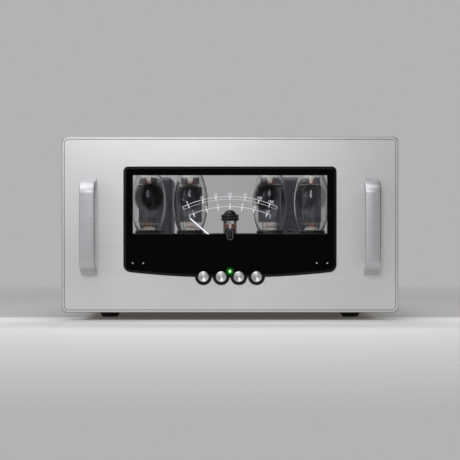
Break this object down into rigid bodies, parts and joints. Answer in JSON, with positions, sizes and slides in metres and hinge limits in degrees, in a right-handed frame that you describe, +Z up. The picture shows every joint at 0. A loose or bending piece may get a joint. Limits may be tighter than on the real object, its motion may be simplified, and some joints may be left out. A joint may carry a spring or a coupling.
{
  "type": "power amplifier",
  "caption": "Valve power amplifier with brushed front panel, bar handles, see-through meter window over glowing power valves, push-buttons and rear speaker posts.",
  "frame": {"origin": "middle of the bounding box at floor level, under the feet", "axes": "+X to the viewer's right across the front panel, +Y from the front panel to the rear, +Z up"},
  "size_m": [0.4826, 0.46, 0.263],
  "materials": {
    "panel_aluminium": "horizontally brushed, clear anodised",
    "handle_aluminium": "cross-brushed, clear anodised",
    "button_aluminium": "turned face, bright",
    "window_acrylic": "polished acrylic with a black mask behind",
    "dial_acrylic": "clear polished",
    "black_plastic": "fine matt",
    "circuit_board": "green solder mask",
    "needle_white": "matt white",
    "lamp_green": "clear green lens, lit",
    "lamp_white": "clear lens, lit",
    "dark_steel": "black zinc",
    "chassis_paint": "black powder coat",
    "foot_rubber": "matt",
    "valve_glass": "clear blown glass",
    "anode_metal": "carbonised grey",
    "phenolic": "black moulded",
    "socket_ceramic": "unglazed",
    "damper_silicone": "satin",
    "core_steel": "varnished laminations",
    "cover_paint": "satin black",
    "capacitor_sleeve": "shrink sleeve",
    "gold_brass": "gold plated",
    "toggle_chrome": "polished",
    "cap_plastic": "moulded, fluted"
  },
  "bodies": {
    "amplifier": {"front_panel": "panel_aluminium", "front_glass": "window_acrylic", "window_frame": "black_plastic", "dial_glass": "dial_acrylic", "meter_movement": "black_plastic", "control_board": "circuit_board", "status_lamp": "lamp_green", "tube_lamps": "lamp_white", "window_screws": "dark_steel", "handle_left": "handle_aluminium", "handle_right": "handle_aluminium", "handle_screws": "dark_steel", "chassis_tray": "chassis_paint", "deck": "chassis_paint", "rear_panel": "chassis_paint", "feet": "foot_rubber", "chassis_screws": "dark_steel", "tube_sockets": "socket_ceramic", "driver_bulb": "valve_glass", "driver_electrodes": "anode_metal", "driver_dampers": "damper_silicone", "main_board": "circuit_board", "filter_capacitors": "capacitor_sleeve", "power_transformer_core": "core_steel", "power_transformer_cover": "cover_paint", "output_transformer_core": "core_steel", "output_transformer_cover": "cover_paint", "transformer_screws": "dark_steel", "mains_inlet": "black_plastic", "fuse_holder": "black_plastic", "xlr_input": "black_plastic", "rca_input": "gold_brass", "toggle_switch": "toggle_chrome", "binding_posts": "gold_brass", "power_tube_1_bulb": "valve_glass", "power_tube_1_electrodes": "anode_metal", "power_tube_1_base": "phenolic", "power_tube_2_bulb": "valve_glass", "power_tube_2_electrodes": "anode_metal", "power_tube_2_base": "phenolic", "power_tube_3_bulb": "valve_glass", "power_tube_3_electrodes": "anode_metal", "power_tube_3_base": "phenolic", "power_tube_4_bulb": "valve_glass", "power_tube_4_electrodes": "anode_metal", "power_tube_4_base": "phenolic"},
    "power_button": {"power_button": "button_aluminium"},
    "meter_button": {"meter_button": "button_aluminium"},
    "bias_button": {"bias_button": "button_aluminium"},
    "mode_button": {"mode_button": "button_aluminium"},
    "meter_needle": {"meter_needle": "needle_white"},
    "toggle_lever": {"toggle_lever": "toggle_chrome"},
    "post_washer_1": {"post_washer_1": "gold_brass"},
    "post_washer_2": {"post_washer_2": "gold_brass"},
    "post_washer_3": {"post_washer_3": "gold_brass"},
    "post_washer_4": {"post_washer_4": "gold_brass"},
    "post_cap_1": {"post_cap_1": "cap_plastic"},
    "post_cap_2": {"post_cap_2": "cap_plastic"},
    "post_cap_3": {"post_cap_3": "cap_plastic"},
    "post_cap_4": {"post_cap_4": "cap_plastic"}
  },
  "joints": [
    {"name": "power_button_press", "type": "slide", "parent": "amplifier", "child": "power_button", "axis": [0, 1, 0], "range_m": [0, 0.0015], "stiffness_N_per_m": 900},
    {"name": "meter_button_press", "type": "slide", "parent": "amplifier", "child": "meter_button", "axis": [0, 1, 0], "range_m": [0, 0.0015], "stiffness_N_per_m": 900},
    {"name": "bias_button_press", "type": "slide", "parent": "amplifier", "child": "bias_button", "axis": [0, 1, 0], "range_m": [0, 0.0015], "stiffness_N_per_m": 900},
    {"name": "mode_button_press", "type": "slide", "parent": "amplifier", "child": "mode_button", "axis": [0, 1, 0], "range_m": [0, 0.0015], "stiffness_N_per_m": 900},
    {"name": "needle_swing", "type": "hinge", "parent": "amplifier", "child": "meter_needle", "pos_m": [0, -0.173, 0.096], "axis": [0, 1, 0], "range_deg": [0, 98], "stiffness_Nm_per_rad": 0.0001},
    {"name": "toggle_throw", "type": "hinge", "parent": "amplifier", "child": "toggle_lever", "pos_m": [0.036, 0.199, 0.072], "axis": [1, 0, 0], "range_deg": [0, 24]},
    {"name": "post_1_lift", "type": "slide", "parent": "amplifier", "child": "post_washer_1", "axis": [0, 1, 0], "range_m": [0, 0.006]},
    {"name": "post_1_turn", "type": "hinge", "parent": "post_washer_1", "child": "post_cap_1", "pos_m": [-0.173, 0.217, 0.072], "axis": [0, 1, 0], "range_deg": [0, 2160]},
    {"name": "post_2_lift", "type": "slide", "parent": "amplifier", "child": "post_washer_2", "axis": [0, 1, 0], "range_m": [0, 0.006]},
    {"name": "post_2_turn", "type": "hinge", "parent": "post_washer_2", "child": "post_cap_2", "pos_m": [-0.143, 0.217, 0.072], "axis": [0, 1, 0], "range_deg": [0, 2160]},
    {"name": "post_3_lift", "type": "slide", "parent": "amplifier", "child": "post_washer_3", "axis": [0, 1, 0], "range_m": [0, 0.006]},
    {"name": "post_3_turn", "type": "hinge", "parent": "post_washer_3", "child": "post_cap_3", "pos_m": [-0.113, 0.217, 0.072], "axis": [0, 1, 0], "range_deg": [0, 2160]},
    {"name": "post_4_lift", "type": "slide", "parent": "amplifier", "child": "post_washer_4", "axis": [0, 1, 0], "range_m": [0, 0.006]},
    {"name": "post_4_turn", "type": "hinge", "parent": "post_washer_4", "child": "post_cap_4", "pos_m": [-0.083, 0.217, 0.072], "axis": [0, 1, 0], "range_deg": [0, 2160]}
  ],
  "couplings": [
    {"joint": "post_1_lift", "follows": "post_1_turn", "m_per_rad": 0.00015915},
    {"joint": "post_2_lift", "follows": "post_2_turn", "m_per_rad": 0.00015915},
    {"joint": "post_3_lift", "follows": "post_3_turn", "m_per_rad": 0.00015915},
    {"joint": "post_4_lift", "follows": "post_4_turn", "m_per_rad": 0.00015915}
  ]
}
